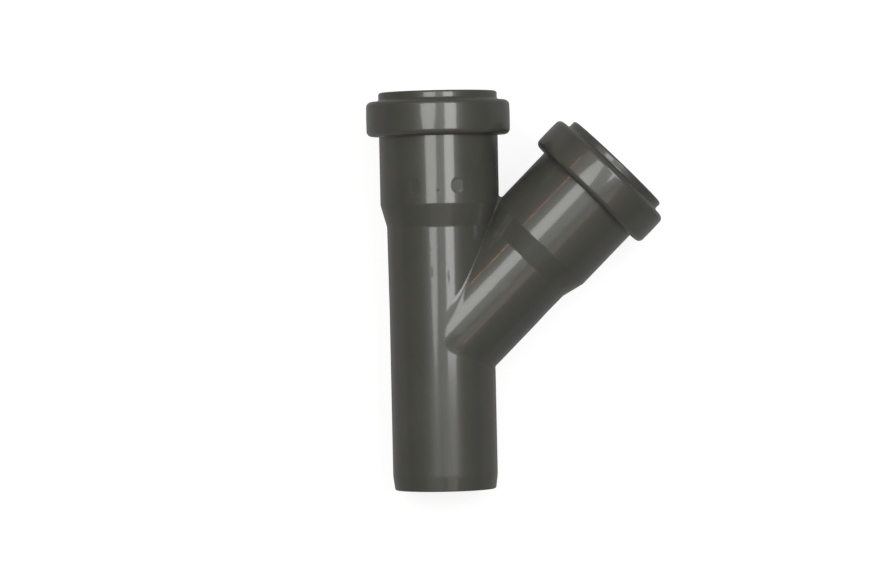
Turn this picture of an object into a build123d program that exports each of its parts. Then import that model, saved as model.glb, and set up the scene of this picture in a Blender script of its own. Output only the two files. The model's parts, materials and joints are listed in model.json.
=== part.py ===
"""A 45-degree wye for push-fit waste pipe: one moulding with two ring-seal sockets and a plain spigot.

It is drawn flat first: the run lies along +Y, the branch leaves it towards +X, and both axes cross at
the origin. Distances named "at" or "reach" are measured along an arm from that crossing. At the end the
whole fitting is laid down on its two beads and its spigot, as it comes to rest on a table.
"""
from build123d import *
from math import asin, atan2, hypot, radians, sin, sqrt, tan
import os

# Arms
branch_angle = 45.0
spigot_radius = 20.0
wall = 1.8
spigot_length = 45.4
heel_land = 1.7
tube_draft = 0.3
root_slimming = 0.25
slim_root_length = 30.0
seam_fillet = 1.4

# Spigot end
lead_length = 5.4
lead_depth = 0.72
spigot_end_fillet = 0.8
spigot_bore_chamfer = 0.2

# Flare from tube to socket
flare_length = 8.8
flare_short = 0.6
bore_flare_shift = 0.3

# Socket
socket_clearance = 0.35
socket_wall = 2.3
socket_length = 25.9

# Bead that holds the seal, and the lip beyond it
bead_length = 13.0
bead_rise = 4.8
bead_wall = 2.2
bead_foot_fillet = 2.4
bead_crown_fillet = 2.0
lip_length = 3.75
lip_fillet = 0.9
mouth_relief = 0.35
mouth_chamfer = 0.8

# Rubber ring, with its section as shares of the groove's depth and width
seal_side_gap = 0.2
seal_rim_gap = 0.1
seal_bore_gap = 0.1
seal_back_share = 0.32
seal_heel_share = 0.36
seal_heel_rise_share = 0.18
seal_chamfer_share = 0.2
seal_lip_share = 0.22
seal_tip_share = 0.18
seal_tip_flat_share = 0.14

# Flats that stand for a quarter turn of rounding, so that the faces stay few
rounding_flats = 3

# Sizes that follow
half_angle = radians(branch_angle) / 2
draft_from = -spigot_radius * tan(half_angle) - heel_land
spigot_reach = spigot_length - draft_from
drafted_radius = spigot_radius + tube_draft
socket_bore_radius = spigot_radius + socket_clearance
socket_radius = socket_bore_radius + socket_wall
mouth_radius = socket_bore_radius + mouth_relief
bead_radius = socket_radius + bead_rise
groove_radius = bead_radius - bead_wall
flare_end = socket_radius / tan(half_angle) - flare_short
flare_at = flare_end - flare_length
bead_at = flare_end + socket_length
bead_end = bead_at + bead_length
groove_at = bead_at + bead_wall
groove_end = bead_end - bead_wall
mouth_at = bead_end + lip_length
past_end = 2.0


def stations(edge):
    """Points that carry an outline's edge, without its last one: one for a line, more for an arc."""
    if edge.geom_type == GeomType.LINE:
        return [edge @ 0]
    turned_by = edge.length / edge.radius
    flats = max(1, round(rounding_flats * turned_by / radians(90)))
    return [edge @ (step / flats) for step in range(flats)]


def turned(corners):
    """Turn an outline of (radius, distance along the arm, corner rounding) about the Y axis."""
    points = [(radius, along) for radius, along, rounding in corners]
    outline = FilletPolyline(*points, radius=[corner[2] for corner in corners], close=True)
    flatted = [point for edge in outline.edges() for point in stations(edge)]
    return revolve(make_face(Polyline(*flatted, close=True).edges()), Axis.Y)


def on_branch(solid):
    """Swing a solid drawn on the run over to the branch."""
    return Rot(0, 0, -branch_angle) * solid


def tube_radius(along):
    """Outer tube radius, drafted evenly from the end of the straight spigot up to the flare."""
    return spigot_radius + tube_draft * (along - draft_from) / (flare_at - draft_from)


def socket_outside():
    """Outline from the flare to the mouth, which both arms share."""
    return [
        (drafted_radius, flare_at, 0),
        (socket_radius, flare_end, 0),
        (socket_radius, bead_at, 0),
        (bead_radius, bead_at, bead_foot_fillet),
        (bead_radius, bead_end, bead_crown_fillet),
        (socket_radius, bead_end, 0),
        (socket_radius, mouth_at, lip_fillet),
        (0, mouth_at, 0),
    ]


def socket_inside():
    """Outline of the bore from its flare to past the mouth, with the groove for the ring."""
    return [
        (socket_bore_radius, flare_end + bore_flare_shift, 0),
        (socket_bore_radius, groove_at, 0),
        (groove_radius, groove_at, 0),
        (groove_radius, groove_end, 0),
        (mouth_radius, groove_end, 0),
        (mouth_radius, mouth_at - mouth_chamfer, 0),
        (mouth_radius + mouth_chamfer, mouth_at, 0),
        (mouth_radius + mouth_chamfer, mouth_at + past_end, 0),
        (0, mouth_at + past_end, 0),
    ]


def run_outside():
    """Run arm: spigot with a lead at its end, slight draft, then the socket."""
    spigot = [
        (0, -spigot_reach, 0),
        (spigot_radius - lead_depth, -spigot_reach, spigot_end_fillet),
        (spigot_radius, lead_length - spigot_reach, 0),
        (spigot_radius, draft_from, 0),
    ]
    return turned(spigot + socket_outside())


def branch_outside():
    """Branch arm: a shade slimmer at its root, and the same as the run from there on."""
    root = [
        (0, 0, 0),
        (spigot_radius - root_slimming, 0, 0),
        (tube_radius(slim_root_length), slim_root_length, 0),
    ]
    return on_branch(turned(root + socket_outside()))


def run_core():
    """Waterway of the run, open at both ends."""
    bore_radius = spigot_radius - wall
    tube = [
        (0, -spigot_reach - past_end, 0),
        (bore_radius + spigot_bore_chamfer, -spigot_reach - past_end, 0),
        (bore_radius + spigot_bore_chamfer, -spigot_reach, 0),
        (bore_radius, spigot_bore_chamfer - spigot_reach, 0),
        (bore_radius, flare_at + bore_flare_shift, 0),
    ]
    return turned(tube + socket_inside())


def branch_core():
    """Waterway of the branch, from the crossing of the axes out to its mouth."""
    bore_radius = spigot_radius - root_slimming - wall
    tube = [
        (0, 0, 0),
        (bore_radius, 0, 0),
        (bore_radius, flare_at + bore_flare_shift, 0),
    ]
    return on_branch(turned(tube + socket_inside()))


def blended_arms():
    """Both arms joined, with a rolling fillet along the seam where the branch meets the run."""
    arms = run_outside() + branch_outside()
    seam = [edge for edge in arms.edges() if edge.geom_type not in (GeomType.CIRCLE, GeomType.LINE)]
    return arms.fillet(seam_fillet, seam)


def wye_body():
    """The whole moulding."""
    return blended_arms() - run_core() - branch_core()


def socket_seal():
    """Lip ring in its groove: a heel towards the mouth and a lip that an entering pipe has wiped back."""
    rim = groove_radius - seal_rim_gap
    bore = socket_bore_radius + seal_bore_gap
    low = groove_at + seal_side_gap
    depth = rim - bore
    width = groove_end - low
    back = rim - seal_back_share * depth
    heel_bore = bore + seal_heel_rise_share * depth
    heel_at = groove_end - seal_heel_share * width
    chamfer = seal_chamfer_share * depth
    lip = seal_lip_share * depth
    tip_at = low + seal_tip_share * width
    return turned([
        (rim, low, 0),
        (rim, groove_end, 0),
        (heel_bore + chamfer, groove_end, 0),
        (heel_bore, groove_end - chamfer, 0),
        (bore, tip_at + seal_tip_flat_share * width, 0),
        (bore, tip_at, 0),
        (bore + lip, tip_at, 0),
        (heel_bore + lip, heel_at, 0),
        (back, heel_at, 0),
        (back, low, 0),
    ])


def resting_plane():
    """Table under the flat drawing, touching both beads and the spigot.

    A bead's rounded foot is a ring of radius R, rounding f and place s along its arm. When the arm
    rises by t from the table, the ring's lowest point is at s sin(t) - R cos(t) - f. The run's bead
    and the end of its straight spigot have to reach equally low, which gives the rise. Both beads
    are alike, so the branch rises as much as the run, and the normal leans by the same sine along
    either arm.
    """
    apart = bead_at + bead_foot_fillet + spigot_reach - lead_length
    step = bead_radius - bead_foot_fillet - spigot_radius
    rise = atan2(step, apart) + asin(bead_foot_fillet / hypot(step, apart))
    normal_y = sin(rise)
    normal_x = normal_y * tan(half_angle)
    normal = Vector(normal_x, normal_y, sqrt(1 - normal_x**2 - normal_y**2))
    return Plane(origin=(0, 0, 0), x_dir=Vector(0, 1, 0).cross(normal), z_dir=normal)


def laid_down(body):
    """Location that lays the flat drawing on the table, centred over the middle of its outline."""
    lay = resting_plane().location.inverse()
    box = (lay * body).bounding_box()
    return Pos(-box.center().X, -box.center().Y, -box.min.Z) * lay


body = wye_body()
seal = socket_seal()
home = laid_down(body)
pieces = {
    "wye_body": home * body,
    "run_socket_seal": home * seal,
    "branch_socket_seal": home * on_branch(seal),
}

os.makedirs("parts", exist_ok=True)
for name, piece in pieces.items():
    export_step(piece, f"parts/{name}.step")
    print(name, "volume", round(piece.volume, 1), "mm3")
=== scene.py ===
# %% [markdown]
# A dark grey wye for push-fit waste pipe lies on a white table. It is one injection moulding: a run
# with a plain spigot at its foot, and a branch that leaves it at 45 degrees. Each upper end flares into
# a socket, and each socket has a stepped bead that holds a rubber lip ring.
#
# The solids of the frame carry the sizes. Their roundings are a few flats, which smooth shading can't
# hide, so this script works the same shape out again as a fine skin and gives it its finish.

# %% Load the frame
import json
import math

import bmesh
import bpy
import numpy as np
from mathutils import Matrix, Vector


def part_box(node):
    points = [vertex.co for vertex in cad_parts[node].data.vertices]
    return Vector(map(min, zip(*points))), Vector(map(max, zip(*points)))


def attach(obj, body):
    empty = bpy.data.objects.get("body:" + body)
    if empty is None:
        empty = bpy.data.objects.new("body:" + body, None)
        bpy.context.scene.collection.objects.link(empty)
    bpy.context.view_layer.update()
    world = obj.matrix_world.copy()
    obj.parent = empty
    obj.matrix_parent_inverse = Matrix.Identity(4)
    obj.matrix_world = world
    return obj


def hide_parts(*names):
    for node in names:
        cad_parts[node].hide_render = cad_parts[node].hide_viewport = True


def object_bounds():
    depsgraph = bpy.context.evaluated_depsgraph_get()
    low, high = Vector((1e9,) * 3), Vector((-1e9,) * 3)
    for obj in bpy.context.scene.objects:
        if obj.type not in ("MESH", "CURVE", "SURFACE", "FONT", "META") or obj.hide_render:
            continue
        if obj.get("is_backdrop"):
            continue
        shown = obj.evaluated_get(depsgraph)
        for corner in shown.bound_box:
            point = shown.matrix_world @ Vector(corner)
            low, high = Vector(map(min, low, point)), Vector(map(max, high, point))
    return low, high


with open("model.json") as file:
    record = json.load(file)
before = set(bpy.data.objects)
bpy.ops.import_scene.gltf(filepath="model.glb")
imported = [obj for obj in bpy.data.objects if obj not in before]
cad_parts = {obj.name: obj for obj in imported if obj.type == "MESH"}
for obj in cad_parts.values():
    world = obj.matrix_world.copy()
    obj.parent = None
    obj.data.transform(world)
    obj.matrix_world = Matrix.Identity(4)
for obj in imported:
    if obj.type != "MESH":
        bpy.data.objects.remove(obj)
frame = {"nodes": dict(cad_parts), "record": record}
cad_box = [list(map(float, corner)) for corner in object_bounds()]
print("nodes", sorted(frame["nodes"]), "box", cad_box)

# %% [markdown]
# Where the arms are. The fitting lies slightly tilted, because its beads are fatter than its spigot. It
# is easier to think of it flat: the run up the page along +Y, the branch leaving towards +X, and both
# axes crossing at the origin. The record's mounts give both socket axes, so the crossing and the page's
# three directions follow from them, and nothing is placed by eye.

# %% From the flat page to the table
MM = 0.001
mounts = {mount["name"]: mount for mount in frame["record"]["mounts"]}


def unit(vector):
    """The vector divided by its length."""
    return np.asarray(vector, float) / np.linalg.norm(vector)


run_dir = unit(mounts["run_socket"]["axis"])
branch_dir = unit(mounts["branch_socket"]["axis"])
page_x = unit(branch_dir - (branch_dir @ run_dir) * run_dir)
page = np.stack([page_x, run_dir, np.cross(page_x, run_dir)], axis=1)
between = np.array(mounts["branch_socket"]["pos_m"]) - np.array(mounts["run_socket"]["pos_m"])
arm_dirs = np.stack([run_dir, -branch_dir], axis=1)
back_along_run = np.linalg.lstsq(arm_dirs, between, rcond=None)[0][0]
crossing = np.array(mounts["run_socket"]["pos_m"]) + back_along_run * run_dir
arm_angle = math.acos(run_dir @ branch_dir)
print("arms apart by", round(math.degrees(arm_angle), 3), "degrees, crossing at", crossing.round(5))


def to_table(flat_mm):
    """Flat page points in millimetres, as places on the table in metres: crossing + page . point."""
    return crossing + (np.asarray(flat_mm) * MM) @ page.T


# %% [markdown]
# The photograph was taken from far away with a long lens, so the fitting hardly foreshortens. The
# camera is set from what the photograph tells: how many pixels a millimetre takes, how far off the
# camera stands, where a page point lies in the frame, and the small tilts and roll of the page.

# %% Camera
FRAME_WIDTH_PX = 870
SENSOR_WIDTH_MM = 36.0
PX_PER_MM = 2.6127
CAMERA_AWAY_MM = 1655.5
CLIP_END_M = 50.0
PAGE_PIVOT_MM = np.array([28.0, 20.7, 0.0])
PIVOT_RIGHT_OF_CENTRE_MM = 30.519
PIVOT_ABOVE_CENTRE_MM = 0.609
TILT_UP, TILT_SIDE, ROLL = np.radians([0.6834, -0.6814, 1.2164])


def camera_axes():
    """Rows are the camera's right, up and back in the page: turn about X, then about Y, then roll."""
    about_x = Matrix.Rotation(TILT_UP, 3, "X")
    about_y = Matrix.Rotation(TILT_SIDE, 3, "Y")
    return np.array(Matrix.Rotation(ROLL, 3, "Z") @ about_y @ about_x)


view = camera_axes()
eye_from_pivot = np.array([PIVOT_RIGHT_OF_CENTRE_MM, PIVOT_ABOVE_CENTRE_MM, -CAMERA_AWAY_MM])
camera_place = to_table(PAGE_PIVOT_MM - view.T @ eye_from_pivot)
camera_turn = page @ view.T
camera_data = bpy.data.cameras.new("camera")
camera_data.sensor_fit = "HORIZONTAL"
camera_data.sensor_width = SENSOR_WIDTH_MM
camera_data.lens = PX_PER_MM * CAMERA_AWAY_MM / FRAME_WIDTH_PX * SENSOR_WIDTH_MM
camera_data.clip_end = CLIP_END_M
camera = bpy.data.objects.new("camera", camera_data)
camera.matrix_world = Matrix.Translation(camera_place) @ Matrix(camera_turn.tolist()).to_4x4()
bpy.context.scene.collection.objects.link(camera)
bpy.context.scene.camera = camera
print("lens", round(camera_data.lens, 1), "mm, camera at", camera_place.round(3))

# %% [markdown]
# Every shape here is turned, so each one starts as an outline of (radius, distance along the arm) with
# a rounding at each corner. A modeller could bevel edges instead, but an outline with true arcs gives
# exact tangents, and those are needed later where the two arms melt into each other. Straight stretches
# get a point just inside each end, so that smooth shading keeps them straight.

# %% Outlines with true arcs
ARC_STEP = math.radians(9.0)
SMALL_ROUNDING_MM = 0.5
SMALL_ARC_STEP = math.radians(22.5)
HOLD_MM = 0.12
STRAIGHT_TURN = 1e-6


def corner_arc(place, entry, leaving, rounding):
    """Points and outward normals round one corner of an outline.

    The outward normal of a stretch (dr, ds) is (ds, -dr). A corner that turns by a starts its arc
    rounding * tan(a / 2) before it. Each arc point lies rounding * (normal - first normal) from
    there, outwards at an outer corner and inwards at an inner one.
    """
    turn = math.atan2(entry[0] * leaving[1] - entry[1] * leaving[0], entry @ leaving)
    first = np.array([entry[1], -entry[0]])
    last = np.array([leaving[1], -leaving[0]])
    if rounding == 0.0 or abs(turn) < STRAIGHT_TURN:
        return place[None], first[None]
    step = ARC_STEP if rounding > SMALL_ROUNDING_MM else SMALL_ARC_STEP
    share = np.linspace(0.0, 1.0, max(2, math.ceil(abs(turn) / step)) + 1)[:, None]
    fan = np.sin((1 - share) * abs(turn)) * first + np.sin(share * abs(turn)) * last
    fan /= np.linalg.norm(fan, axis=1, keepdims=True)
    start = place - rounding * math.tan(abs(turn) / 2) * entry
    return start + math.copysign(rounding, turn) * (fan - first), fan


def rounded_outline(corners):
    """Rows of (along, radius, normal along, normal radius) round a closed outline of turned corners."""
    sharp = np.array([corner[:2] for corner in corners], float)
    rows = []
    for index, corner in enumerate(corners):
        entry = unit(sharp[index] - sharp[index - 1])
        leaving = unit(sharp[(index + 1) % len(corners)] - sharp[index])
        places, normals = corner_arc(sharp[index], entry, leaving, corner[2])
        if corner[2]:
            before, after = places[:1] - HOLD_MM * entry, places[-1:] + HOLD_MM * leaving
            places = np.concatenate([before, places, after])
            normals = np.concatenate([normals[:1], normals, normals[-1:]])
        rows.append(np.concatenate([places[:, ::-1], normals[:, ::-1]], axis=1))
    return np.concatenate(rows)


# %% [markdown]
# The sizes of the moulding, in millimetres. The socket bore and the spigot are the record's own. The
# rest starts from the driving sizes of the solid, so that the skin lies close to it. A few lengths are
# up to 0.3 mm off them and the draft starts higher up, because true arcs could be set against the
# photograph more closely than flats. Two things are added that flats could not show: the soft corners
# of the flare, and the slight barrel shape of the bead.

# %% Sizes of the moulding
SPIGOT_RADIUS = mounts["spigot"]["dims"]["r_mm"]
SOCKET_BORE_RADIUS = mounts["run_socket"]["dims"]["r_mm"]
WALL = 1.8
SPIGOT_REACH = 55.384
TUBE_DRAFT = 0.3
DRAFT_FROM = 12.0
LEAD_LENGTH = 5.4
LEAD_DEPTH = 0.72
LEAD_ROUNDING = 14.0
SPIGOT_END_ROUNDING = 0.55
SPIGOT_BORE_ROUNDING = 0.2
FLARE_LENGTH = 8.5
FLARE_SHORT = 0.9
FLARE_ROUNDING = 2.5
BORE_FLARE_SHIFT = 0.3
SOCKET_WALL = 2.3
SOCKET_LENGTH = 26.2
BEAD_LENGTH = 13.3
BEAD_RISE = 4.8
BEAD_WALL = 2.2
BEAD_FOOT_ROUNDING = 2.1
BEAD_CROWN_ROUNDING = 2.0
BEAD_BARREL_TILT = math.radians(1.3)
BEAD_BARREL_ROUNDING = 150.0
STEP_ROUNDING = 0.35
LIP_LENGTH = 3.45
LIP_ROUNDING = 0.9
LIP_ROOT_ROUNDING = 1.1
MOUTH_RELIEF = 0.35
MOUTH_CHAMFER = 0.8
INNER_ROUNDING = 0.3

HALF_TANGENT = math.tan(arm_angle / 2)
TUBE_RADIUS = SPIGOT_RADIUS + TUBE_DRAFT
BORE_RADIUS = SPIGOT_RADIUS - WALL
SOCKET_RADIUS = SOCKET_BORE_RADIUS + SOCKET_WALL
BEAD_RADIUS = SOCKET_RADIUS + BEAD_RISE
GROOVE_RADIUS = BEAD_RADIUS - BEAD_WALL
MOUTH_RADIUS = SOCKET_BORE_RADIUS + MOUTH_RELIEF
FLARE_END = SOCKET_RADIUS / HALF_TANGENT - FLARE_SHORT
FLARE_AT = FLARE_END - FLARE_LENGTH
BEAD_AT = FLARE_END + SOCKET_LENGTH
BEAD_END = BEAD_AT + BEAD_LENGTH
GROOVE_AT = BEAD_AT + BEAD_WALL
GROOVE_END = BEAD_END - BEAD_WALL
MOUTH_AT = BEAD_END + LIP_LENGTH
BARREL_TOP = BEAD_RADIUS + BEAD_BARREL_ROUNDING * (1 / math.cos(BEAD_BARREL_TILT) - 1)
BARREL_FOOT = BARREL_TOP - BEAD_LENGTH / 2 * math.tan(BEAD_BARREL_TILT)
print("socket reach", round(MOUTH_AT, 2), "mm, bead radius", round(BEAD_RADIUS, 2), "mm")

# %% Outline of the run, up the outside and back down the bore
run_outline = rounded_outline([
    (SPIGOT_RADIUS - LEAD_DEPTH, -SPIGOT_REACH, SPIGOT_END_ROUNDING),
    (SPIGOT_RADIUS, LEAD_LENGTH - SPIGOT_REACH, LEAD_ROUNDING),
    (SPIGOT_RADIUS, DRAFT_FROM, 0.0),
    (TUBE_RADIUS, FLARE_AT, FLARE_ROUNDING),
    (SOCKET_RADIUS, FLARE_END, FLARE_ROUNDING),
    (SOCKET_RADIUS, BEAD_AT, STEP_ROUNDING),
    (BARREL_FOOT, BEAD_AT, BEAD_FOOT_ROUNDING),
    (BARREL_TOP, (BEAD_AT + BEAD_END) / 2, BEAD_BARREL_ROUNDING),
    (BARREL_FOOT, BEAD_END, BEAD_CROWN_ROUNDING),
    (SOCKET_RADIUS, BEAD_END, LIP_ROOT_ROUNDING),
    (SOCKET_RADIUS, MOUTH_AT, LIP_ROUNDING),
    (MOUTH_RADIUS + MOUTH_CHAMFER, MOUTH_AT, INNER_ROUNDING),
    (MOUTH_RADIUS, MOUTH_AT - MOUTH_CHAMFER, INNER_ROUNDING),
    (MOUTH_RADIUS, GROOVE_END, INNER_ROUNDING),
    (GROOVE_RADIUS, GROOVE_END, INNER_ROUNDING),
    (GROOVE_RADIUS, GROOVE_AT, INNER_ROUNDING),
    (SOCKET_BORE_RADIUS, GROOVE_AT, INNER_ROUNDING),
    (SOCKET_BORE_RADIUS, FLARE_END + BORE_FLARE_SHIFT, FLARE_ROUNDING),
    (BORE_RADIUS, FLARE_AT + BORE_FLARE_SHIFT, FLARE_ROUNDING),
    (BORE_RADIUS, -SPIGOT_REACH, SPIGOT_BORE_ROUNDING),
])
mouth_row = int(np.argmax(run_outline[:, 0]))
outside, inside = run_outline[:mouth_row + 1], run_outline[mouth_row + 1:]
print("outline rows", len(outside), "outside and", len(inside), "inside")

# %% [markdown]
# The branch tube is a shade fatter than the run, so it stands proud of it where they cross and covers a
# little more of it. It swells out of the run's size over its first few millimetres.

# %% Outline of the branch
BRANCH_SWELL = 0.33
SWELL_LENGTH = 8.0
SWELL_ROWS = 13
SWELL_FADES_FROM = 30.0
SWELL_FADES_TO = FLARE_AT - 2.0
BRANCH_TUBE_FROM = 12.0
BRANCH_TUBE_TO = FLARE_AT - 1.0
BRANCH_ROW_STEP = 3.0
SLOPE_REACH = 0.05


def smooth_step(low, high, value):
    """0 below low, 1 above high, and 3 t^2 - 2 t^3 between, with t the share of the way."""
    share = np.clip((value - low) / (high - low), 0.0, 1.0)
    return share * share * (3 - 2 * share)


def read_outline(rows, stations):
    """Rows at the given stations, read off an outline between its neighbours."""
    ordered = rows[np.argsort(rows[:, 0], kind="stable")]
    values = [np.interp(stations, ordered[:, 0], ordered[:, k]) for k in (1, 2, 3)]
    return np.stack([stations, *values], axis=1)


def branch_radius(along):
    """Tube radius of the branch: the run's, and a swell that ends where the run's draft catches up."""
    fading = smooth_step(SWELL_FADES_FROM, SWELL_FADES_TO, along)
    swell = smooth_step(0.0, SWELL_LENGTH, along) * (1 - fading)
    caught_up = np.interp(along, [DRAFT_FROM, FLARE_AT], [0.0, TUBE_DRAFT])
    return np.maximum(SPIGOT_RADIUS + BRANCH_SWELL * swell, SPIGOT_RADIUS + caught_up)


def branch_rows(rows):
    """The run's outline from the crossing up, with the branch's own radius below the flare.

    A tube whose radius rises by a slope has the outward normal (-slope, 1) / root(1 + slope^2).
    """
    swollen = np.linspace(0.0, SWELL_LENGTH, SWELL_ROWS)
    own = np.concatenate([swollen, np.arange(BRANCH_TUBE_FROM, BRANCH_TUBE_TO, BRANCH_ROW_STEP)])
    rise = branch_radius(own + SLOPE_REACH) - branch_radius(np.maximum(own - SLOPE_REACH, 0.0))
    slope = rise / (2 * SLOPE_REACH)
    normals = np.stack([-slope, 0 * slope + 1], axis=1) / np.hypot(1.0, slope)[:, None]
    tube = np.concatenate([np.stack([own, branch_radius(own)], axis=1), normals], axis=1)
    return np.concatenate([tube, rows[rows[:, 0] > BRANCH_TUBE_TO]])


branch_outside = branch_rows(outside)
print("branch outline rows", len(branch_outside))

# %% [markdown]
# Where the arms meet. A boolean would find the line, but it would leave uneven slivers and a hard edge.
# Instead the seam is written down. A ball that touches both arms from outside has its centre at each
# tube's radius plus its own from both axes, which gives the angle of its touching points about each
# axis in closed form. The ball is large at the crown, where the arms melt into each other, and small
# where they part. The waterways meet in a sharp line, which is a ball of no size.

# %% A ball that touches both arms
SEAM_FILLET = 0.075
SEAM_FALL = 4.6
CROTCH_FILLET = 0.9
CROTCH_FROM = 0.96
HEEL_FILLET = 1.35
HEEL_FALL = 2
LARGEST_BALL = 20.0
LEAST_COSINE = 0.01
END_SLACK = 1e-4
TOUCH_ROUNDS = 40
ARM_SINE, ARM_COSINE = math.sin(arm_angle), math.cos(arm_angle)


def ball_radius(rows, is_upper, is_outer):
    """Ball at each branch row: fillet / c^fall up to the largest, c the cosine of the seam's angle.

    The upper seam is crisp from half-way up. Where c is nearly 1 it grows to the crotch's rounding.
    """
    tangent = HALF_TANGENT if is_upper else 1 / HALF_TANGENT
    cosine = np.clip(rows[:, 0] * tangent / rows[:, 1], LEAST_COSINE, 1.0)
    if is_upper:
        crotch = CROTCH_FILLET * smooth_step(CROTCH_FROM, 1.0, cosine)
        ball = SEAM_FILLET / cosine ** SEAM_FALL + crotch
    else:
        ball = HEEL_FILLET / cosine ** HEEL_FALL
    return np.minimum(ball, LARGEST_BALL) * is_outer


def touching_ball(rows, run_rows, is_upper, is_outer):
    """Where a ball at each branch row touches both arms, as a dictionary of arrays.

    The centre is at station t and radius p from the branch's axis, with u = p cos(angle) towards the
    run. It has to be at radius q from the run's axis, which makes u the sum
    (-t cos A + root(t^2 + p^2 - q^2)) / sin A, with A the angle between the arms, and a minus sign
    before the root for the heel. The run's q is read off its outline at the station found so far,
    again and again until it settles.
    """
    ball = ball_radius(rows, is_upper, is_outer)
    station, radius = rows[:, 0] + ball * rows[:, 2], rows[:, 1] + ball * rows[:, 3]
    sign = 1.0 if is_upper else -1.0
    run_station = sign * rows[:, 0]
    for _ in range(TOUCH_ROUNDS):
        run_row = read_outline(run_rows, run_station)
        run_radius = run_row[:, 1] + ball * run_row[:, 3]
        root = np.sqrt(np.maximum(station ** 2 + radius ** 2 - run_radius ** 2, 0.0))
        toward = (sign * root - station * ARM_COSINE) / ARM_SINE
        cosine = np.clip(toward / radius, -1.0, 1.0)
        cosine = np.where(np.abs(cosine) > 1 - END_SLACK, np.sign(cosine), cosine)
        run_station = station * ARM_COSINE + radius * cosine * ARM_SINE - ball * run_row[:, 2]
    across = station * ARM_SINE - radius * cosine * ARM_COSINE
    height = radius * np.sqrt(1 - cosine ** 2)
    centre = np.stack([across, run_station + ball * run_row[:, 2], height], axis=1)
    return {"ball": ball, "centre": centre, "run_station": run_station,
            "run_angle": np.arctan2(height, across), "angle": np.arccos(cosine)}


# %% Stations of the seam on the branch
OUTER_SEAM_STEPS = 36
INNER_SEAM_STEPS = 22
HEEL_STEPS = 14
ROW_GAP = 0.12
MARK_STATION_MM = 60.6
MARK_ZONE_MM = 3.7
MARK_ROW_STEP_MM = 0.3
FINE_REACH_MM = 70.0
FINE_ROWS = 14001


def seam_stations(rows, steps, is_outer):
    """Stations of both seams on the branch, up to where the arms part, and the heel's end.

    The upper seam ends where t tan(A / 2) = p, and the heel where t = (q - p cos A) / sin A, in the
    words of touching_ball.
    """
    fine = read_outline(rows, np.linspace(0.0, FINE_REACH_MM, FINE_ROWS))
    ball = ball_radius(fine, True, is_outer)
    share = (fine[:, 0] + ball * fine[:, 2]) * HALF_TANGENT / (fine[:, 1] + ball * fine[:, 3])
    upper = np.interp(np.cos(np.linspace(math.pi / 2, 0.0, steps)), share, fine[:, 0])
    end_ball = HEEL_FILLET * is_outer
    branch_end = read_outline(rows, np.array([HALF_TANGENT * SPIGOT_RADIUS]))[0, 1] + end_ball
    run_end = (SPIGOT_RADIUS if is_outer else BORE_RADIUS) + end_ball
    heel_end = (run_end - branch_end * ARM_COSINE) / ARM_SINE
    heel = heel_end * np.cos(np.linspace(0.0, math.pi / 2, HEEL_STEPS))
    loose = np.concatenate([upper, heel, rows[:, 0]])
    loose = np.sort(loose[(loose > 0) & (loose < upper[-1])])
    kept = [0.0, heel_end, upper[-1]]
    for station in loose:
        if min(abs(station - other) for other in kept) > ROW_GAP:
            kept.append(station)
    return np.sort(kept), heel_end


# %% More rows on straight stretches
MARK_STATIONS_MM = np.arange(
    MARK_STATION_MM - MARK_ZONE_MM, MARK_STATION_MM + MARK_ZONE_MM, MARK_ROW_STEP_MM)
SPIGOT_STATIONS_MM = np.array([-40.0, -25.0, -14.0, -12.0, -11.0, -10.0])
BRANCH_SOCKET_STATIONS_MM = np.array([58.5, 59.2, 60.0, 62.0, 70.0])


def with_rows(rows, stations):
    """An outline with more rows put in, at stations on one straight stretch of it."""
    after = int(np.argmax(rows[:, 0] > stations[0]))
    return np.concatenate([rows[:after], read_outline(rows, stations), rows[after:]])


outside = with_rows(with_rows(outside, MARK_STATIONS_MM), SPIGOT_STATIONS_MM)
branch_outside = with_rows(branch_outside, BRANCH_SOCKET_STATIONS_MM)
print("outside rows", len(outside), "on the run and", len(branch_outside), "on the branch")


# %% Rows of both arms, with the seam's own rows put in
def arm_surfaces(run_rows, own_rows, steps, is_outer):
    """Rows with their first and last angle, from the lowest station up, of the run and the branch.

    The run is cut away up to its seam angle. The branch is cut away there and, near the crossing, at
    the heel. Also gives the branch's rows and the touching balls of both seams, for the fillet.
    """
    stations, heel_end = seam_stations(own_rows, steps, is_outer)
    seam_rows = read_outline(own_rows, stations)
    heel_rows = seam_rows[stations <= heel_end]
    upper = touching_ball(seam_rows, run_rows, True, is_outer)
    heel = touching_ball(heel_rows, run_rows, False, is_outer)
    run_stations = np.concatenate([heel["run_station"][::-1], upper["run_station"][1:]])
    run_first = np.concatenate([heel["run_angle"][::-1], upper["run_angle"][1:]])
    below = run_rows[run_rows[:, 0] < run_stations[0] - ROW_GAP]
    above = run_rows[run_rows[:, 0] > run_stations[-1] + ROW_GAP]
    run = np.concatenate([below, read_outline(run_rows, run_stations), above])
    first = np.concatenate([np.zeros(len(below)), run_first, np.zeros(len(above))])
    own_above = own_rows[own_rows[:, 0] > stations[-1] + ROW_GAP]
    own = np.concatenate([seam_rows, own_above])
    own_first = np.concatenate([upper["angle"], np.zeros(len(own_above))])
    own_last = np.concatenate([heel["angle"], np.full(len(own) - len(heel_rows), math.pi)])
    seams = {"upper": (seam_rows, upper), "heel": (heel_rows, heel)}
    return (run, first, np.full(len(run), math.pi)), (own, own_first, own_last), seams


outer_run, outer_branch, seams = arm_surfaces(outside, branch_outside, OUTER_SEAM_STEPS, True)
inner_run, inner_branch, _ = arm_surfaces(inside[::-1], inside[::-1], INNER_SEAM_STEPS, False)
APEX_MM = seams["upper"][1]["run_station"][-1]
HEEL_MM = -seams["heel"][1]["run_station"][-1]
print("on the run the seam ends at", APEX_MM.round(2), "mm and the heel at", HEEL_MM.round(2), "mm")


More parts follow.
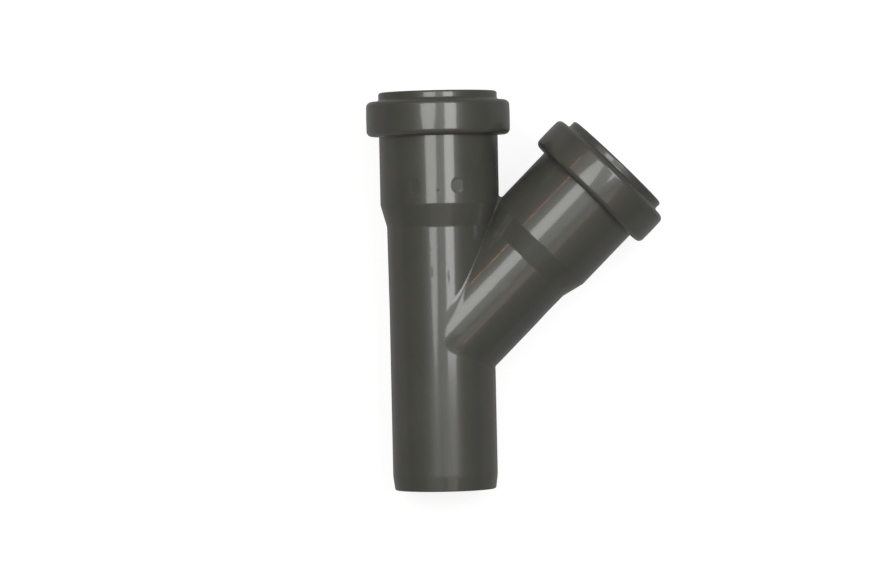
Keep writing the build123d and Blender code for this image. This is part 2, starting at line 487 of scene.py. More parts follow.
def joined(outer, inner):
    """Rows and angles up the outside and back down the bore, and which rows are outside."""
    both = [np.concatenate([up, down[::-1]]) for up, down in zip(outer, inner)]
    return both + [np.arange(len(both[0])) < len(outer[0])]


# %% [markdown]
# The moulding is alike above and below the parting plane, so only the upper half is worked out, with
# angle 0 on the side of the other arm and half a turn on the far side. Each row is a fan of points from
# the seam to the far side, so the columns crowd together where the arm is cut away, and no triangle is
# ever cut.

# %% Columns across half a turn
COLUMN_STEP = math.radians(3.0)
FINE_COLUMN_STEP = math.radians(0.8)
RIDGE_COLUMNS_MM = np.array([0.0, 0.12, 0.24, 0.40, 0.75])
SHARE_DIGITS = 6


def columns(fine_from=0.0, fine_to=0.0):
    """Shares of half a turn, close together at both ends, for the parting line, and in one stretch."""
    edge = RIDGE_COLUMNS_MM / (math.pi * SPIGOT_RADIUS)
    plain = np.arange(1, int(math.pi / COLUMN_STEP)) * COLUMN_STEP / math.pi
    fine = np.arange(fine_from, fine_to, FINE_COLUMN_STEP) / math.pi
    if len(fine):
        plain = plain[(plain < fine[0] - edge[-1]) | (plain > fine[-1] + edge[-1])]
    return np.unique(np.concatenate([edge, plain, fine, 1.0 - edge]).round(SHARE_DIGITS))


# %% [markdown]
# Real marks of the mould. Two halves of steel leave a hair of a ridge where they part, all round in the
# plane of the axes. Two round inserts leave flat discs on the curved socket, and a pin leaves a dot.
# They are too small for a modelling tool to be worth it: each is a height added along the surface's
# normal.

# %% Heights of the mould's marks
RIDGE_HEIGHT_MM = 0.05
RIDGE_WIDTH_MM = 0.17
RIDGE_START_MM = 1.5
INSERT_ANGLES = np.radians([72.0, 114.8])
INSERT_RADIUS_MM = 3.0
INSERT_DEPTH_MM = 0.13
INSERT_EDGE_MM = 0.8
INSERT_SPAN = 0.5
PIN_ANGLE = math.radians(91.0)
PIN_STATION_MM = 58.5
PIN_RADIUS_MM = 0.75
PIN_DEPTH_MM = 0.22
MARK_FADE_MM = 1.0
FINE_RANGE = np.radians([57.0, 128.0])


def ridge_height(angle, radius, free_near, free_far):
    """A ridge e^-(d / width)^2 at arc distance d from either end of half a turn, away from the seam."""
    near = np.exp(-(radius * angle / RIDGE_WIDTH_MM) ** 2) * free_near
    far = np.exp(-(radius * (math.pi - angle) / RIDGE_WIDTH_MM) ** 2) * free_far
    return RIDGE_HEIGHT_MM * (near + far)


def insert_depth(angle, along, radius):
    """Depth of the flat discs and the pin's dot under the turned surface, on the front of the run.

    A flat at distance h from the axis is at radius h / cos(a), with a the angle from its middle.
    """
    depth = np.zeros_like(angle)
    for centre in INSERT_ANGLES:
        away = np.hypot(radius * (angle - centre), along - MARK_STATION_MM)
        from_middle = np.clip(angle - centre, -INSERT_SPAN, INSERT_SPAN)
        flat = (SOCKET_RADIUS - INSERT_DEPTH_MM) / np.cos(from_middle)
        inside_disc = 1 - smooth_step(INSERT_RADIUS_MM - INSERT_EDGE_MM, INSERT_RADIUS_MM, away)
        depth += np.maximum(radius - flat, 0.0) * inside_disc
    away = np.hypot(radius * (angle - PIN_ANGLE), along - PIN_STATION_MM)
    return depth + PIN_DEPTH_MM * (1 - smooth_step(0.0, PIN_RADIUS_MM, away))


# %% Half of one arm as a grid of points
upper_mirror = np.array([math.sin(arm_angle / 2), math.cos(arm_angle / 2), 0.0])


def mirrored(points):
    """Points mirrored in the upright plane half-way between the arms, from one arm to the other."""
    flat = points * [1, 1, 0]
    return 2 * (flat @ upper_mirror)[..., None] * upper_mirror - flat + points * [0, 0, 1]


def turned_place(radius, along, angle):
    """(r cos a, s, r sin a): the place at radius r, station s and angle a about the run's axis."""
    return np.stack([radius * np.cos(angle), along + 0 * angle, radius * np.sin(angle)], axis=-1)


SLOPE_STEP = 0.01


def mark_lift(is_run, is_front, rows, is_outer, angle, along):
    """Height of all marks over the turned surface of one half arm, at angles and stations."""
    radius = rows[:, 1:2]
    past_apex = smooth_step(0.0, RIDGE_START_MM, along - APEX_MM)
    past_heel = smooth_step(0.0, RIDGE_START_MM, np.abs(along) - HEEL_MM)
    free_near = past_apex + (past_heel * (along < 0) if is_run else 0.0)
    free_far = np.ones_like(along) if is_run else past_heel
    lift = ridge_height(angle, radius, free_near, free_far) * np.abs(rows[:, 3:4])
    if is_run and is_front:
        in_socket = np.abs(along - MARK_STATION_MM) < MARK_ZONE_MM + MARK_FADE_MM
        lift = lift - np.where(in_socket, insert_depth(angle, along, radius), 0.0)
    return lift * is_outer[:, None]


def half_arm(is_run, is_front):
    """Grid of flat page points over half of one arm, rows first, and the surface's normals there.

    A row covers the angles from its first to its last. The branch is drawn as the run is and then
    mirrored. A normal is the outline's own, less the slopes of the marks round the arm and along it.
    """
    surfaces = (outer_run, inner_run) if is_run else (outer_branch, inner_branch)
    rows, first, last, is_outer = joined(*surfaces)
    share = columns(*FINE_RANGE) if is_run and is_front else columns()
    angle = first[:, None] + (last - first)[:, None] * share[None, :]
    along, radius = rows[:, 0:1], rows[:, 1:2]

    def lift_at(round_by, along_by):
        """Height of the marks at a small step round the arm and along it."""
        return mark_lift(is_run, is_front, rows, is_outer, angle + round_by / radius, along + along_by)

    lift = lift_at(0.0, 0.0)
    slope_round = (lift_at(SLOPE_STEP, 0.0) - lift_at(-SLOPE_STEP, 0.0)) / (2 * SLOPE_STEP)
    slope_along = (lift_at(0.0, SLOPE_STEP) - lift_at(0.0, -SLOPE_STEP)) / (2 * SLOPE_STEP)
    points = turned_place(radius + lift * rows[:, 3:4], along + lift * rows[:, 2:3], angle)
    normals = np.stack([
        rows[:, 3:4] * np.cos(angle) + slope_round * np.sin(angle), rows[:, 2:3] - slope_along,
        rows[:, 3:4] * np.sin(angle) - slope_round * np.cos(angle)], axis=-1)
    if not is_run:
        points, normals = mirrored(points), mirrored(normals)
    side = [1, 1, 1 if is_front else -1]
    return points * side, normals * side


# %% Fillet strips over the ball's track
STRIP_STEPS = 12
LEAST_SINE = 1e-9


def fillet_strip(seam, is_front):
    """Grid over the ball's track, from where it touches the run to where it touches the branch.

    From the ball's centre c, the strip turns from p to q as (sin((1 - t) w) p + sin(t w) q) / sin w.
    Its normals point at the centre.
    """
    rows, touch = seam
    centre, run_station = touch["centre"], touch["run_station"]
    run_radius = read_outline(outside, run_station)[:, 1]
    on_run = turned_place(run_radius, run_station, touch["run_angle"])
    on_branch = mirrored(turned_place(rows[:, 1], rows[:, 0], touch["angle"]))
    first, last = on_run - centre, on_branch - centre
    turn = np.arccos(np.clip((first * last).sum(1) / touch["ball"] ** 2, -1, 1))[:, None, None]
    share = np.linspace(0.0, 1.0, STRIP_STEPS + 1)[None, :, None]
    is_flat = np.sin(turn) < LEAST_SINE
    sine = np.where(is_flat, 1.0, np.sin(turn))
    near = np.where(is_flat, 1.0 - share, np.sin((1 - share) * turn) / sine)
    far = np.where(is_flat, share, np.sin(share * turn) / sine)
    points = centre[:, None] + near * first[:, None] + far * last[:, None]
    points[:, 0], points[:, -1] = on_run, on_branch
    side = [1, 1, 1 if is_front else -1]
    return points * side, (centre[:, None] - points) * side


# %% [markdown]
# The grids become one mesh. Neighbouring grids were worked out from the same numbers, so their edges
# match, and welding closes the seams. A closed mesh has two faces at every edge, which is counted.
# Blender would guess normals from the faces, and slanting faces beside the seam would bend the mirror
# image of a lamp. So every face corner takes the true normal along, as an attribute that survives the
# welding.

# %% Grids into one closed mesh
WELD_M = 1e-7


def grid_faces(rows, count, first, is_closed, is_flipped):
    """Quads of a grid of rows by count points, joined round when closed, and turned if flipped."""
    row = np.arange(rows if is_closed else rows - 1)[:, None]
    column = np.arange(count - 1)[None, :]
    here, there = row * count + column, ((row + 1) % rows) * count + column
    quads = np.stack([here, there, there + 1, here + 1], axis=-1).reshape(-1, 4) + first
    return quads[:, ::-1] if is_flipped else quads


def mesh_piece(name, grids):
    """One welded mesh object from ((points, normals), is_closed, is_flipped) parts on the flat page."""
    points, normals, faces, first = [], [], [], 0
    for (grid, grid_normals), is_closed, is_flipped in grids:
        faces.append(grid_faces(grid.shape[0], grid.shape[1], first, is_closed, is_flipped))
        points.append(grid.reshape(-1, 3))
        normals.append(grid_normals.reshape(-1, 3))
        first += points[-1].shape[0]
    faces = np.concatenate(faces)
    mesh = bpy.data.meshes.new(name)
    mesh.from_pydata(to_table(np.concatenate(points)).tolist(), [], faces.tolist())
    true_normal = mesh.attributes.new("true_normal", "FLOAT_VECTOR", "CORNER")
    true_normal.data.foreach_set("vector", (np.concatenate(normals) @ page.T)[faces].ravel())
    work = bmesh.new()
    work.from_mesh(mesh)
    bmesh.ops.remove_doubles(work, verts=work.verts, dist=WELD_M)
    open_edges = sum(len(edge.link_faces) != 2 for edge in work.edges)
    triangles = sum(len(face.verts) - 2 for face in work.faces)
    volume = work.calc_volume(signed=True) / MM ** 3
    work.to_mesh(mesh)
    work.free()
    mesh.shade_smooth()
    corner_normals = np.empty(len(mesh.loops) * 3)
    mesh.attributes["true_normal"].data.foreach_get("vector", corner_normals)
    corner_normals = corner_normals.reshape(-1, 3)
    corner_normals /= np.linalg.norm(corner_normals, axis=1, keepdims=True)
    mesh.normals_split_custom_set(corner_normals.tolist())
    mesh.attributes.remove(mesh.attributes["true_normal"])
    piece = bpy.data.objects.new(name, mesh)
    bpy.context.scene.collection.objects.link(piece)
    print(name, triangles, "triangles,", open_edges, "open edges, volume", round(volume, 1), "mm3")
    return piece


# %% The moulding
parts = []
for is_front in (True, False):
    parts.append((half_arm(True, is_front), True, not is_front))
    parts.append((half_arm(False, is_front), False, is_front))
    parts.append((fillet_strip(seams["upper"], is_front), False, is_front))
    parts.append((fillet_strip(seams["heel"], is_front), False, not is_front))
moulding = mesh_piece("moulding", parts)
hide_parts("wye_body")
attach(moulding, "root")
low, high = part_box("wye_body")
skin = np.array([vertex.co for vertex in moulding.data.vertices])
print("skin against solid, mm:", ((skin.min(0) - np.array(low)) / MM).round(3),
      ((skin.max(0) - np.array(high)) / MM).round(3))

# %% [markdown]
# Each socket holds a lip ring: a heel towards the mouth that keeps it in its groove, and a soft lip
# that leans inwards for the pipe to wipe past. It is a full turn of one outline, so a plain revolve
# would do, but the same grid as before gives it tangent roundings and an even mesh.

# %% Lip rings
SEAL_SIDE_GAP = 0.2
SEAL_RIM_GAP = 0.1
SEAL_BORE_GAP = 0.1
SEAL_BACK_THICKNESS = 1.5
SEAL_HEEL_WIDTH = 3.0
SEAL_HEEL_RISE = 0.85
SEAL_LIP_THICKNESS = 1.0
SEAL_TIP_SETBACK = 1.5
SEAL_TIP_FLAT = 1.2
SEAL_ROUNDING = 0.45
SEAL_RIB_ROUNDING = 0.3
RING_COLUMNS = 181


def seal_outline():
    """Section of the ring, wound like the moulding's: rim, heel, lip, and the hollow behind the lip."""
    rim = GROOVE_RADIUS - SEAL_RIM_GAP
    bore = SOCKET_BORE_RADIUS + SEAL_BORE_GAP
    low_side = GROOVE_AT + SEAL_SIDE_GAP
    heel_bore = bore + SEAL_HEEL_RISE
    heel_at = GROOVE_END - SEAL_HEEL_WIDTH
    tip_at = low_side + SEAL_TIP_SETBACK
    back = rim - SEAL_BACK_THICKNESS
    return rounded_outline([
        (rim, low_side, SEAL_RIB_ROUNDING),
        (rim, GROOVE_END - SEAL_RIM_GAP, SEAL_RIB_ROUNDING),
        (heel_bore, GROOVE_END - SEAL_RIM_GAP, 2 * SEAL_ROUNDING),
        (bore, tip_at + SEAL_TIP_FLAT, 2 * SEAL_ROUNDING),
        (bore, tip_at, SEAL_RIB_ROUNDING),
        (bore + SEAL_LIP_THICKNESS, tip_at, SEAL_RIB_ROUNDING),
        (heel_bore + SEAL_LIP_THICKNESS, heel_at, SEAL_ROUNDING),
        (back, heel_at, SEAL_ROUNDING),
        (back, low_side, SEAL_RIB_ROUNDING),
    ])


def ring_grid(rows, is_run):
    """A full turn of an outline and its normals, about the run's axis or mirrored to the branch's."""
    angle = np.linspace(0.0, 2 * math.pi, RING_COLUMNS)[None, :]
    points = turned_place(rows[:, 1:2], rows[:, 0:1], angle)
    normals = turned_place(rows[:, 3:4], rows[:, 2:3], angle)
    return (points, normals) if is_run else (mirrored(points), mirrored(normals))


seals = {}
for name, node, is_run in (("run_lip_ring", "run_socket_seal", True),
                           ("branch_lip_ring", "branch_socket_seal", False)):
    seals[name] = mesh_piece(name, [(ring_grid(seal_outline(), is_run), True, not is_run)])
    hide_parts(node)
    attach(seals[name], "root")

# %% [markdown]
# The finish. Grey pipe fittings are moulded in a filled plastic with a satin gloss: a mirror-like skin
# over a very slight waviness, because the plastic shrinks as it cools. A photograph would give only one
# view of that, so it is built from noise in the object's own coordinates, in millimetres. Two effects
# are shared by the plastic and the rubber, so each is a node group.

# %% Helpers for nodes
def set_inputs(tree, node, inputs):
    """Links each input of a node from a socket, or sets it to a value."""
    for name, value in inputs.items():
        if isinstance(value, bpy.types.NodeSocket):
            tree.links.new(value, node.inputs[name])
        else:
            node.inputs[name].default_value = value


def add_node(tree, kind, inputs, **settings):
    """A node with its settings and then its inputs, because the settings decide which inputs it has."""
    node = tree.nodes.new(kind)
    for name, value in settings.items():
        setattr(node, name, value)
    set_inputs(tree, node, inputs)
    return node


def calculate(tree, operation, *values):
    """The result of a math node on sockets or numbers."""
    return add_node(tree, "ShaderNodeMath", dict(enumerate(values)), operation=operation).outputs[0]


def noise(tree, place, scale, detail, roughness=0.5, distortion=0.0):
    """A cloudy value round 0.5, with patches about 1 / scale across."""
    node = add_node(tree, "ShaderNodeTexNoise", {
        "Vector": place, "Scale": scale, "Detail": detail, "Roughness": roughness,
        "Distortion": distortion})
    return node.outputs["Fac"]


def stretched(tree, value, low, high, to_low=0.0, to_high=1.0):
    """to_low + (to_high - to_low) (value - low) / (high - low), held between to_low and to_high."""
    node = add_node(tree, "ShaderNodeMapRange", {
        "Value": value, "From Min": low, "From Max": high, "To Min": to_low, "To Max": to_high})
    return node.outputs["Result"]


MIX_SOCKETS = {"FLOAT": (2, 3, 0), "RGBA": (6, 7, 2)}


def mixed(tree, kind, share, first, second):
    """first + share (second - first), for two values or two colours."""
    first_socket, second_socket, result_socket = MIX_SOCKETS[kind]
    node = add_node(tree, "ShaderNodeMix", {
        "Factor": share, first_socket: first, second_socket: second}, data_type=kind)
    return node.outputs[result_socket]


def millimetres(tree):
    """Object coordinates in millimetres."""
    place = tree.nodes.new("ShaderNodeTexCoord")
    scaled = add_node(tree, "ShaderNodeVectorMath", {
        0: place.outputs["Object"], "Scale": 1 / MM}, operation="SCALE")
    return scaled.outputs["Vector"]


# %% Helpers for node groups
def new_group(name, inputs, outputs):
    """A node group with sockets of the kinds given by name, its given sockets and its result node."""
    group = bpy.data.node_groups.new(name, "ShaderNodeTree")
    for socket, kind in inputs.items():
        group.interface.new_socket(socket, in_out="INPUT", socket_type="NodeSocket" + kind)
    for socket, kind in outputs.items():
        group.interface.new_socket(socket, in_out="OUTPUT", socket_type="NodeSocket" + kind)
    given = group.nodes.new("NodeGroupInput")
    return group, given.outputs, group.nodes.new("NodeGroupOutput")


def use_group(tree, group, inputs):
    """The outputs of a group placed in a tree, with its inputs linked or set."""
    return add_node(tree, "ShaderNodeGroup", inputs, node_tree=group).outputs


# %% Moulded skin: waviness and fine grain as one height
skin_group, given, result = new_group("moulded_skin", {
    "Place": "Vector", "Wave Size": "Float", "Wave Height": "Float", "Grain Size": "Float",
    "Grain Height": "Float"}, {"Normal": "Vector"})
wave_rate = calculate(skin_group, "DIVIDE", 1.0, given["Wave Size"])
grain_rate = calculate(skin_group, "DIVIDE", 1.0, given["Grain Size"])
wave = noise(skin_group, given["Place"], wave_rate, detail=1.0)
grain = noise(skin_group, given["Place"], grain_rate, detail=3.0, roughness=0.6)
wave_height = calculate(skin_group, "MULTIPLY", wave, given["Wave Height"])
height = calculate(skin_group, "MULTIPLY_ADD", grain, given["Grain Height"], wave_height)
skin_bump = add_node(skin_group, "ShaderNodeBump", {"Strength": 1.0, "Distance": MM, "Height": height})
set_inputs(skin_group, result, {"Normal": skin_bump.outputs["Normal"]})
print("node group", skin_group.name, "with", len(skin_group.nodes), "nodes")

# %% Mottle: slow change of colour, and one of gloss
MOTTLE_LOW, MOTTLE_HIGH = 0.3, 0.7
mottle_group, given, result = new_group("slight_mottle", {
    "Place": "Vector", "Size": "Float", "Dark": "Color", "Pale": "Color", "Low Gloss": "Float",
    "High Gloss": "Float"}, {"Colour": "Color", "Roughness": "Float"})
rate = calculate(mottle_group, "DIVIDE", 1.0, given["Size"])
cloud = noise(mottle_group, given["Place"], rate, detail=5.0, roughness=0.55, distortion=0.4)
shade = stretched(mottle_group, cloud, MOTTLE_LOW, MOTTLE_HIGH)
tint = mixed(mottle_group, "RGBA", shade, given["Dark"], given["Pale"])
smear = noise(mottle_group, given["Place"], rate, detail=7.0, roughness=0.7, distortion=1.1)
gloss = stretched(
    mottle_group, smear, MOTTLE_LOW, MOTTLE_HIGH, given["High Gloss"], given["Low Gloss"])
set_inputs(mottle_group, result, {"Colour": tint, "Roughness": gloss})
print("node group", mottle_group.name, "with", len(mottle_group.nodes), "nodes")

# %% [markdown]
# Wear follows the shape: a fitting rubs on its rims first, where the skin turns paler and duller. A
# modeller could paint that by hand or bake pointiness. Here every vertex knows its place on the
# outline, so its distance to the nearest outer corner gives the wear directly, and it goes into the
# mesh as an attribute. A rounded corner's rim lies a little inside the sharp corner, by its setback.

# %% Wear along the rims, as an attribute
FOOT_SETBACK_MM = 0.7
CROWN_SETBACK_MM = 0.6
LIP_SETBACK_MM = 0.3
RIM_CORNERS_MM = np.array([
    (SPIGOT_RADIUS - LEAD_DEPTH, -SPIGOT_REACH),
    (BORE_RADIUS, -SPIGOT_REACH),
    (BEAD_RADIUS - FOOT_SETBACK_MM, BEAD_AT + FOOT_SETBACK_MM),
    (BEAD_RADIUS - CROWN_SETBACK_MM, BEAD_END - CROWN_SETBACK_MM),
    (SOCKET_RADIUS - LIP_SETBACK_MM, MOUTH_AT - LIP_SETBACK_MM),
    (MOUTH_RADIUS + MOUTH_CHAMFER, MOUTH_AT),
])
WEAR_REACH_MM = 0.6


def rim_wear(flat_mm):
    """e^-(d / reach)^2, with d the distance on the outline to the nearest rim corner of either arm."""
    wear = np.zeros(len(flat_mm))
    for arm in (flat_mm, mirrored(flat_mm)):
        outline_place = np.stack([np.hypot(arm[:, 0], arm[:, 2]), arm[:, 1]], axis=1)
        away = np.linalg.norm(outline_place[:, None] - RIM_CORNERS_MM[None], axis=2).min(axis=1)
        wear = np.maximum(wear, np.exp(-(away / WEAR_REACH_MM) ** 2))
    return wear


def set_wear(piece):
    """Writes rim_wear of a piece's vertices as its float attribute edge_wear, and gives it back."""
    places = np.empty(len(piece.data.vertices) * 3)
    piece.data.vertices.foreach_get("co", places)
    wear = rim_wear((places.reshape(-1, 3) - crossing) @ page / MM)
    piece.data.attributes.new("edge_wear", "FLOAT", "POINT").data.foreach_set("value", wear)
    return wear


print("mean edge_wear of", moulding.name, set_wear(moulding).mean().round(4))

# %% [markdown]
# The plastic. Its grey is slightly warm and almost even. The lamps' images have a crisp core and a haze
# round it, which one roughness can't give, so a hazy coat lies over a crisp and weaker base. Handling
# leaves short dull scuffs along the tubes, which show only where a lamp is mirrored, so they change
# roughness and hardly change colour. Three small scrapes sit on the run where the photograph has them.

# %% Colours and gloss of the plastic
PLASTIC_DARK = (0.072, 0.072, 0.062, 1.0)
PLASTIC_PALE = (0.087, 0.087, 0.075, 1.0)
WORN_PLASTIC = (0.13, 0.13, 0.12, 1.0)
PLASTIC_GLOSS = 0.07
PLASTIC_DULL = 0.10
PLASTIC_SPECULAR = 0.3
PLASTIC_IOR = 1.5
HAZE_WEIGHT = 1.0
HAZE_ROUGHNESS = 0.34
SCUFF_ROUGHNESS = 0.55


def new_material(name):
    """A node material with its Principled shader, and its tree."""
    material = bpy.data.materials.new(name)
    material.use_nodes = True
    shader = material.node_tree.nodes["Principled BSDF"]
    return material, material.node_tree, shader


plastic, tree, shader = new_material("moulded_plastic_skin")
place = millimetres(tree)
skin_waves = use_group(tree, skin_group, {
    "Place": place, "Wave Size": 14.0, "Wave Height": 0.02, "Grain Size": 0.7, "Grain Height": 0.0022})
body_mottle = use_group(tree, mottle_group, {
    "Place": place, "Size": 26.0, "Dark": PLASTIC_DARK, "Pale": PLASTIC_PALE,
    "Low Gloss": PLASTIC_DULL, "High Gloss": PLASTIC_GLOSS})
print("plastic roughness from", PLASTIC_GLOSS, "to", PLASTIC_DULL, "under a haze of", HAZE_ROUGHNESS)

# %% Scuffs and rim wear as masks
SCUFF_RATES = (0.55, 0.12, 0.55)
WEAR_AT_MOST = 0.16
along_run = add_node(tree, "ShaderNodeMapping", {"Vector": place, "Scale": SCUFF_RATES})
scuff_noise = noise(
    tree, along_run.outputs["Vector"], scale=1.0, detail=6.0, roughness=0.75, distortion=0.6)
scuffs = stretched(tree, scuff_noise, low=0.63, high=0.68)
where_scuffed = stretched(tree, noise(tree, place, scale=0.045, detail=2.0), low=0.45, high=0.6)
scuff_mask = calculate(tree, "MULTIPLY", scuffs, where_scuffed)
worn = add_node(tree, "ShaderNodeAttribute", {}, attribute_name="edge_wear")
patchy = noise(tree, place, scale=0.35, detail=4.0)
patchy_wear = stretched(tree, patchy, low=0.35, high=0.65, to_high=WEAR_AT_MOST)
wear_mask = calculate(tree, "MULTIPLY", worn.outputs["Fac"], patchy_wear)
dull_mask = calculate(tree, "MAXIMUM", wear_mask, scuff_mask)
print("scuffs repeat about every", (1 / np.array(SCUFF_RATES)).round(1), "mm")

# %% Scrapes on the run
SCRAPES = ((101.4, 37.0, 2.8, 0.9), (99.6, 28.0, 3.2, 0.9), (81.3, 26.0, 4.5, 0.75))


def scrape_nearness(tree, place, angle_degrees, station, length, width):
    """1 at a place on the run's tube, falling to 0 at the rim of a long patch, as e^-(d^2).

    d^2 = (a / length)^2 + (|v|^2 - a^2) / width^2, with v from the place and a its part along the run.
    """
    middle = to_table(turned_place(SPIGOT_RADIUS, station, math.radians(angle_degrees))) / MM
    away = add_node(tree, "ShaderNodeVectorMath", {
        0: place, 1: tuple(middle)}, operation="SUBTRACT").outputs["Vector"]
    along = add_node(tree, "ShaderNodeVectorMath", {
        0: away, 1: tuple(run_dir)}, operation="DOT_PRODUCT").outputs["Value"]
    square = add_node(tree, "ShaderNodeVectorMath", {
        0: away, 1: away}, operation="DOT_PRODUCT").outputs["Value"]
    along_square = calculate(tree, "MULTIPLY", along, along)
    lengthwise = calculate(tree, "MULTIPLY", along_square, 1 / length ** 2 - 1 / width ** 2)
    total = calculate(tree, "MULTIPLY", square, -1 / width ** 2)
    return calculate(tree, "EXPONENT", calculate(tree, "SUBTRACT", total, lengthwise))


ragged = noise(tree, place, scale=0.9, detail=5.0, roughness=0.7)
for scrape in SCRAPES:
    broken = calculate(tree, "MULTIPLY", scrape_nearness(tree, place, *scrape), ragged)
    dull_mask = calculate(tree, "MAXIMUM", dull_mask, stretched(tree, broken, low=0.3, high=0.36))
print(len(SCRAPES), "scrapes on the run")

# %% The plastic's shader
colour = mixed(tree, "RGBA", wear_mask, body_mottle["Colour"], WORN_PLASTIC)
roughness = mixed(tree, "FLOAT", dull_mask, body_mottle["Roughness"], SCUFF_ROUGHNESS)
set_inputs(tree, shader, {
    "Base Color": colour, "Roughness": roughness, "Normal": skin_waves["Normal"],
    "IOR": PLASTIC_IOR, "Specular IOR Level": PLASTIC_SPECULAR, "Coat Weight": HAZE_WEIGHT,
    "Coat Roughness": HAZE_ROUGHNESS})
moulding.data.materials.append(plastic)
print("material", plastic.name, "with", len(tree.nodes), "nodes")

# %% [markdown]
# The rings are black rubber with a dusting of talc, so their colour wanders more than the plastic's and
# they are dull. The lip is wetted with a little grease when it is fitted, which a smear of gloss stands
# for.

# %% Seal rubber
RUBBER_DARK = (0.012, 0.012, 0.013, 1.0)
RUBBER_PALE = (0.034, 0.034, 0.036, 1.0)
RUBBER_GREASED = 0.36
RUBBER_DULL = 0.68
rubber, tree, shader = new_material("seal_rubber_skin")
place = millimetres(tree)
rubber_skin = use_group(tree, skin_group, {
    "Place": place, "Wave Size": 6.0, "Wave Height": 0.03, "Grain Size": 0.35, "Grain Height": 0.012})
talc = use_group(tree, mottle_group, {
    "Place": place, "Size": 5.0, "Dark": RUBBER_DARK, "Pale": RUBBER_PALE,
    "Low Gloss": RUBBER_DULL, "High Gloss": RUBBER_GREASED})
set_inputs(tree, shader, {
    "Base Color": talc["Colour"], "Roughness": talc["Roughness"], "Normal": rubber_skin["Normal"]})
for ring in seals.values():
    ring.data.materials.append(rubber)
print("material", rubber.name, "on", sorted(seals))

# %% [markdown]
# The light. The bright stripes along the run and the branch are mirror images of two soft boxes beside
# the camera, so their edges say where the boxes stood: a tube's surface turns by half the angle of what
# it mirrors. Each lamp is given by the angles it fills, seen from the fitting. Its power follows from
# the brightness that a mirror would show there. The boxes' dim skirts give the stripes a faint tail.
# The cards and the ceiling are what else of the studio shows, dimly, in the flanks, cones and beads.
# Two thin warm strips, turned to lie along the branch, stand for the warm streaks in it.

# %% Lamps
LAMP_AWAY_M = 1.2
LAMP_TARGET_MM = np.array([15.0, 25.0, 0.0])
ELLIPSE_SHARE = math.pi / 4
WHITE = (1.0, 1.0, 1.0)
COOL = (0.98, 1.0, 0.97)
WARM = (1.0, 0.45, 0.2)


def panel(name, right_degrees, up_degrees, strength, colour=WHITE, shape="RECTANGLE", turn=0.0):
    """A flat lamp that fills angles (from, to) to the camera's right and above it, from the target.

    It stands square to the view, so a side is away * (tan(to) - tan(from)) long, and may be turned in
    its own plane by turn degrees. A lamp's power is its area times strength times pi, and an ellipse
    has pi / 4 of its rectangle's area.
    """
    right = np.tan(np.radians(right_degrees)) * LAMP_AWAY_M
    up = np.tan(np.radians(up_degrees)) * LAMP_AWAY_M
    lamp_data = bpy.data.lights.new(name, "AREA")
    lamp_data.shape = shape
    lamp_data.size = right[1] - right[0]
    lamp_data.size_y = up[1] - up[0]
    filled = ELLIPSE_SHARE if shape == "ELLIPSE" else 1.0
    lamp_data.energy = math.pi * filled * lamp_data.size * lamp_data.size_y * strength
    lamp_data.color = colour
    lamp = bpy.data.objects.new(name, lamp_data)
    from_target = camera_turn @ np.array([right.mean(), up.mean(), LAMP_AWAY_M])
    lamp_place = Matrix.Translation(to_table(LAMP_TARGET_MM) + from_target)
    own_turn = Matrix.Rotation(math.radians(turn), 4, "Z")
    lamp.matrix_world = lamp_place @ Matrix(camera_turn.tolist()).to_4x4() @ own_turn
    bpy.context.scene.collection.objects.link(lamp)
    print(name, "power", round(lamp_data.energy, 2), "W")


panel("left_soft_box", (-28.4, -3.7), (-4.25, 22.6), 5.9, COOL, "ELLIPSE")
panel("right_soft_box", (9.8, 28.4), (-3.75, 21.0), 7.6)
panel("left_box_skirt", (-23.0, -8.5), (-14.0, -5.0), 0.02)
panel("right_box_skirt", (11.0, 25.0), (-14.0, -4.5), 0.02)
panel("card_between", (-4.0, 9.8), (-9.0, 22.0), 0.55)
panel("low_card", (4.0, 26.0), (-26.0, -15.0), 0.65)
panel("run_cone_card", (-20.0, 24.0), (-44.0, -27.5), 0.28)
panel("branch_cone_card", (-44.0, -6.0), (-27.0, -14.5), 0.28)
panel("high_card", (-40.0, -22.0), (21.0, 40.0), 0.6)
panel("ceiling", (-26.0, 30.0), (27.0, 52.0), 0.75)
panel("warm_edge_high", (-46.5, -35.4), (35.3, 37.1), 13.0, WARM, turn=45.0)
panel("warm_edge_low", (16.8, 25.9), (-25.1, -23.5), 11.5, WARM, turn=45.0)

# %% [markdown]
# The stage is a cove: a pale floor that curls up far away. In the photograph the background is pure
# white but the plastic mirrors a dim room. So the floor's own colour is a middle grey, and what the
# camera sees of it is filled up to white, and so would glass in front of it be. Mirrored in the plastic
# it is filled only to the level of that dim room, and not at all close by, so the floor keeps the
# object's reflection and shadow.

# %% Floor that curls up
FLOOR_REACH_M = 7.0
COVE_RADIUS_M = 0.12
COVE_RINGS = 24
COVE_COLUMNS = 96
FLOOR_WELD_M = 1e-5


def cove_grid():
    """Disc to the floor's reach, then a quarter circle upwards: (reach + c sin t, c (1 - cos t))."""
    flat_part = np.linspace(0.0, FLOOR_REACH_M, COVE_RINGS)
    turn = np.linspace(0.0, math.pi / 2, COVE_RINGS)[1:]
    out = np.concatenate([flat_part, FLOOR_REACH_M + COVE_RADIUS_M * np.sin(turn)])[:, None]
    up = np.concatenate([0 * flat_part, COVE_RADIUS_M * (1 - np.cos(turn))])[:, None]
    angle = np.linspace(0.0, 2 * math.pi, COVE_COLUMNS + 1)
    return np.stack([out * np.cos(angle), out * np.sin(angle), up + 0 * angle], axis=-1)


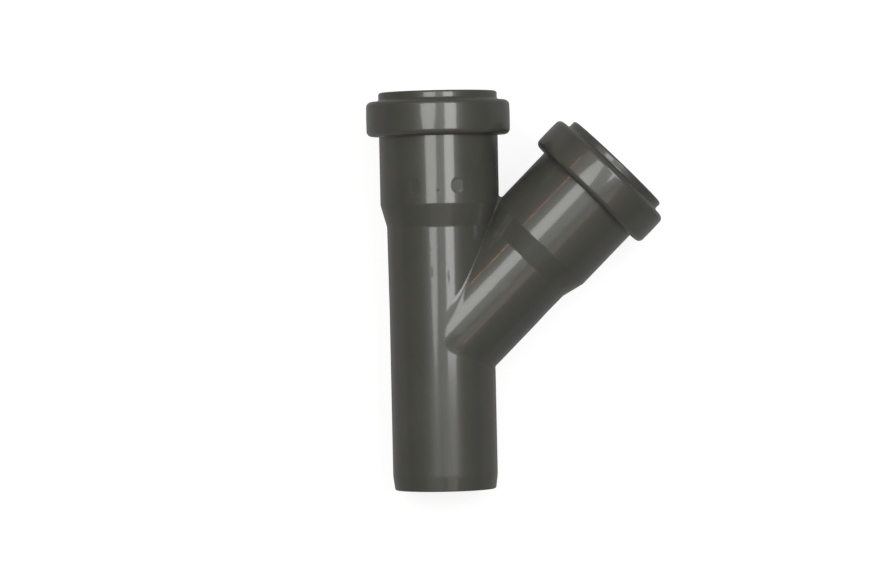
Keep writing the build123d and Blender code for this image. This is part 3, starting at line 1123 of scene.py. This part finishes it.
cove = cove_grid()
cove_faces = grid_faces(cove.shape[0], cove.shape[1], 0, False, False)
floor_mesh = bpy.data.meshes.new("floor")
floor_mesh.from_pydata(cove.reshape(-1, 3).tolist(), [], cove_faces.tolist())
floor_work = bmesh.new()
floor_work.from_mesh(floor_mesh)
bmesh.ops.remove_doubles(floor_work, verts=floor_work.verts, dist=FLOOR_WELD_M)
floor_work.to_mesh(floor_mesh)
floor_work.free()
floor_mesh.shade_smooth()
floor = bpy.data.objects.new("floor", floor_mesh)
bpy.context.scene.collection.objects.link(floor)
floor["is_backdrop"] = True
print("floor of", len(floor_mesh.polygons), "faces")

# %% Floor's finish
FLOOR_GREY = 0.34
FLOOR_ROUGHNESS = 0.9
NEAR_FILL = 0.84
FILL_NEAR_M = 0.25
FILL_FAR_M = 1.2
MIRRORED_FROM_M = 1.0
MIRRORED_FILL = 0.15
stage_paint, tree, shader = new_material("stage_paint")
path = tree.nodes.new("ShaderNodeLightPath").outputs
is_far = calculate(tree, "GREATER_THAN", path["Ray Length"], MIRRORED_FROM_M)
mirrored_far = calculate(tree, "MULTIPLY", path["Is Glossy Ray"], is_far)
mirrored_fill = calculate(tree, "MULTIPLY", mirrored_far, MIRRORED_FILL)
seen = calculate(tree, "MAXIMUM", path["Is Camera Ray"], path["Is Transmission Ray"])
seen_or_mirrored = calculate(tree, "MAXIMUM", seen, mirrored_fill)
floor_place = tree.nodes.new("ShaderNodeTexCoord")
floor_distance = add_node(
    tree, "ShaderNodeVectorMath", {0: floor_place.outputs["Object"]}, operation="LENGTH")
fill = stretched(tree, floor_distance.outputs["Value"], FILL_NEAR_M, FILL_FAR_M, NEAR_FILL, 1.0)
set_inputs(tree, shader, {
    "Base Color": (FLOOR_GREY, FLOOR_GREY, FLOOR_GREY, 1.0), "Roughness": FLOOR_ROUGHNESS,
    "Specular IOR Level": 0.0, "Emission Color": (*WHITE, 1.0),
    "Emission Strength": calculate(tree, "MULTIPLY", seen_or_mirrored, fill)})
floor.data.materials.append(stage_paint)
print("floor filled from", NEAR_FILL, "close by to 1 beyond", FILL_FAR_M, "m")

# %% World and colour
WORLD_FILL = 0.1
world = bpy.data.worlds.new("dim_room")
world.use_nodes = True
backdrop = world.node_tree.nodes["Background"]
path = world.node_tree.nodes.new("ShaderNodeLightPath").outputs
seen = calculate(world.node_tree, "MAXIMUM", path["Is Camera Ray"], path["Is Transmission Ray"])
room = calculate(world.node_tree, "MAXIMUM", seen, WORLD_FILL)
set_inputs(world.node_tree, backdrop, {"Color": (*WHITE, 1.0), "Strength": room})
bpy.context.scene.world = world
bpy.context.scene.view_settings.view_transform = "Standard"
print("world", world.name, "at", WORLD_FILL)

# %% Sizes before the finish
visual_box = [list(map(float, corner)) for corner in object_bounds()]
growth_mm = (np.array(visual_box) - np.array(cad_box)) / MM
print("visual box less CAD box, mm:", growth_mm.round(3).tolist())
